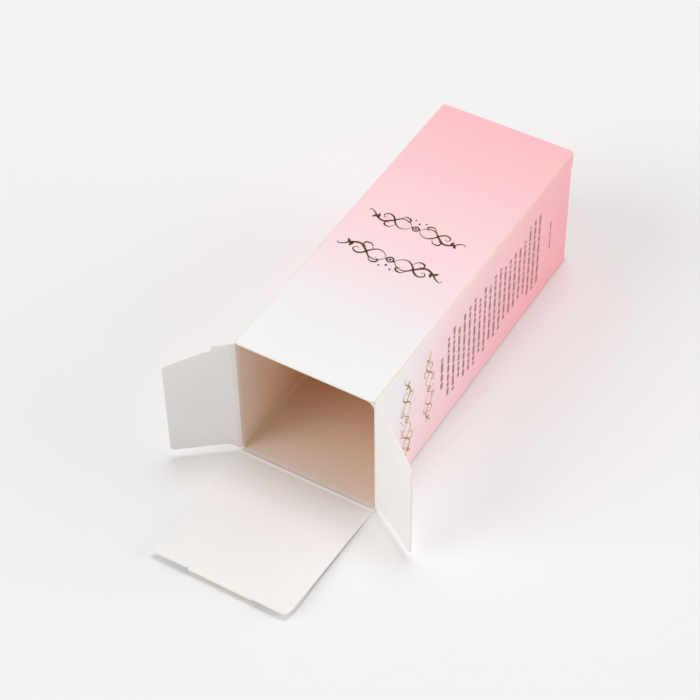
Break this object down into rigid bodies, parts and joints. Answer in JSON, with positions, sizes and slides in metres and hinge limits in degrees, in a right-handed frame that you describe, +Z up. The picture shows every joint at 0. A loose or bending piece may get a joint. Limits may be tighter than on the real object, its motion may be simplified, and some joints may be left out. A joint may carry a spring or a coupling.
{
  "type": "dropper bottle box",
  "caption": "Square tuck-end folding carton for a small dropper bottle, lying on its back with the mouth lid and dust flaps open.",
  "frame": {"origin": "centre of the back panel's outer face, on which the box lies", "axes": "+X across the width, +Y from the open mouth to the shut base, +Z up from the back panel to the front panel"},
  "size_m": [0.0671, 0.1377, 0.038],
  "materials": {
    "printed_board": "matte coated white to pink print",
    "white_board": "matte, uncoated inside",
    "base_board": "matte coated pink print"
  },
  "bodies": {
    "carton": {"carton_tube": "printed_board"},
    "left_flap": {"left_dust_flap": "white_board"},
    "right_flap": {"right_dust_flap": "white_board"},
    "mouth_lid": {"top_lid": "white_board"},
    "mouth_tab": {"top_lid_tab": "white_board"},
    "end_lid": {"base_lid": "base_board"}
  },
  "joints": [
    {"name": "top_lid_crease", "type": "hinge", "parent": "carton", "child": "mouth_lid", "pos_m": [0, -0.05017, 0.00022], "axis": [1, 0, 0], "range_deg": [-87, 113]},
    {"name": "top_tab_crease", "type": "hinge", "parent": "mouth_lid", "child": "mouth_tab", "pos_m": [0, -0.08732, 0.0018], "axis": [1, 0, 0], "range_deg": [-268.3, 0]},
    {"name": "left_flap_crease", "type": "hinge", "parent": "carton", "child": "left_flap", "pos_m": [-0.01878, -0.04942, 0.019], "axis": [0, 0, -1], "range_deg": [-144, 56]},
    {"name": "right_flap_crease", "type": "hinge", "parent": "carton", "child": "right_flap", "pos_m": [0.01878, -0.04942, 0.019], "axis": [0, 0, 1], "range_deg": [-151, 49]},
    {"name": "base_lid_crease", "type": "hinge", "parent": "carton", "child": "end_lid", "pos_m": [0, 0.05017, 0.00022], "axis": [-1, 0, 0], "range_deg": [0, 200]}
  ]
}
